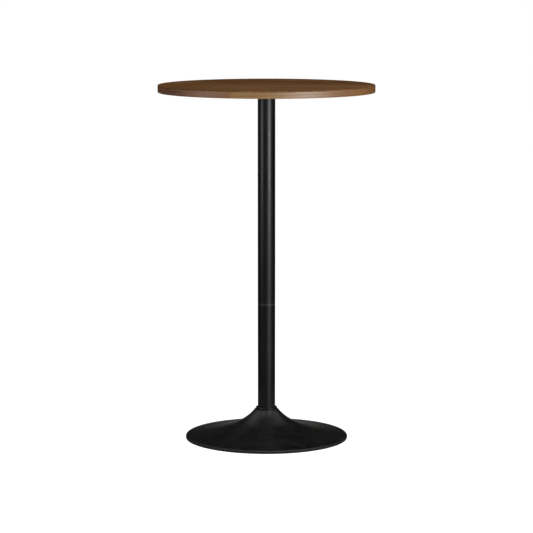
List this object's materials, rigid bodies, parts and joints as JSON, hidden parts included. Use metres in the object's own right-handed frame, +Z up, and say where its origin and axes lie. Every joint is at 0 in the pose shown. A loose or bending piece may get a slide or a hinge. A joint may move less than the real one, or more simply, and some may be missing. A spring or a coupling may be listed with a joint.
{
  "type": "bar table",
  "caption": "Round bar table with a walnut top on a slim two-part tubular column and a weighted trumpet-shaped foot.",
  "frame": {"origin": "on the floor, on the axis of the column", "axes": "+Z up along the column's axis, -Y towards the viewer, +X to the viewer's right"},
  "size_m": [0.6, 0.6, 0.989],
  "materials": {
    "core_board": "plain pressed board",
    "walnut_sheet": "satin stained walnut sheet",
    "walnut_edge": "satin walnut strip, lighter than the face",
    "backing_sheet": "matt dark brown balancing sheet",
    "brass_insert": "machined",
    "black_coat": "satin black powder coat",
    "zinc_steel": "bright zinc plate",
    "turned_steel": "oiled turned steel",
    "cast_weight": "rough casting with grey primer",
    "rubber_ring": "matt black rubber"
  },
  "bodies": {
    "root": {"tabletop_core": "core_board", "walnut_face": "walnut_sheet", "walnut_edge_band": "walnut_edge", "underside_backing": "backing_sheet", "threaded_inserts": "brass_insert", "mounting_plate": "black_coat", "plate_washers": "zinc_steel", "plate_screws": "zinc_steel", "plate_bolt": "zinc_steel", "top_plug": "turned_steel", "upper_column_tube": "black_coat", "upper_joint_plug": "turned_steel", "joining_stud": "zinc_steel", "lower_joint_plug": "turned_steel", "lower_column_tube": "black_coat", "foot_plug": "turned_steel", "column_collar": "black_coat", "base_shell": "black_coat", "hub_sleeve": "turned_steel", "ballast_weight": "cast_weight", "base_washer": "zinc_steel", "base_spring_washer": "zinc_steel", "base_bolt": "zinc_steel", "floor_ring": "rubber_ring"}
  },
  "joints": []
}
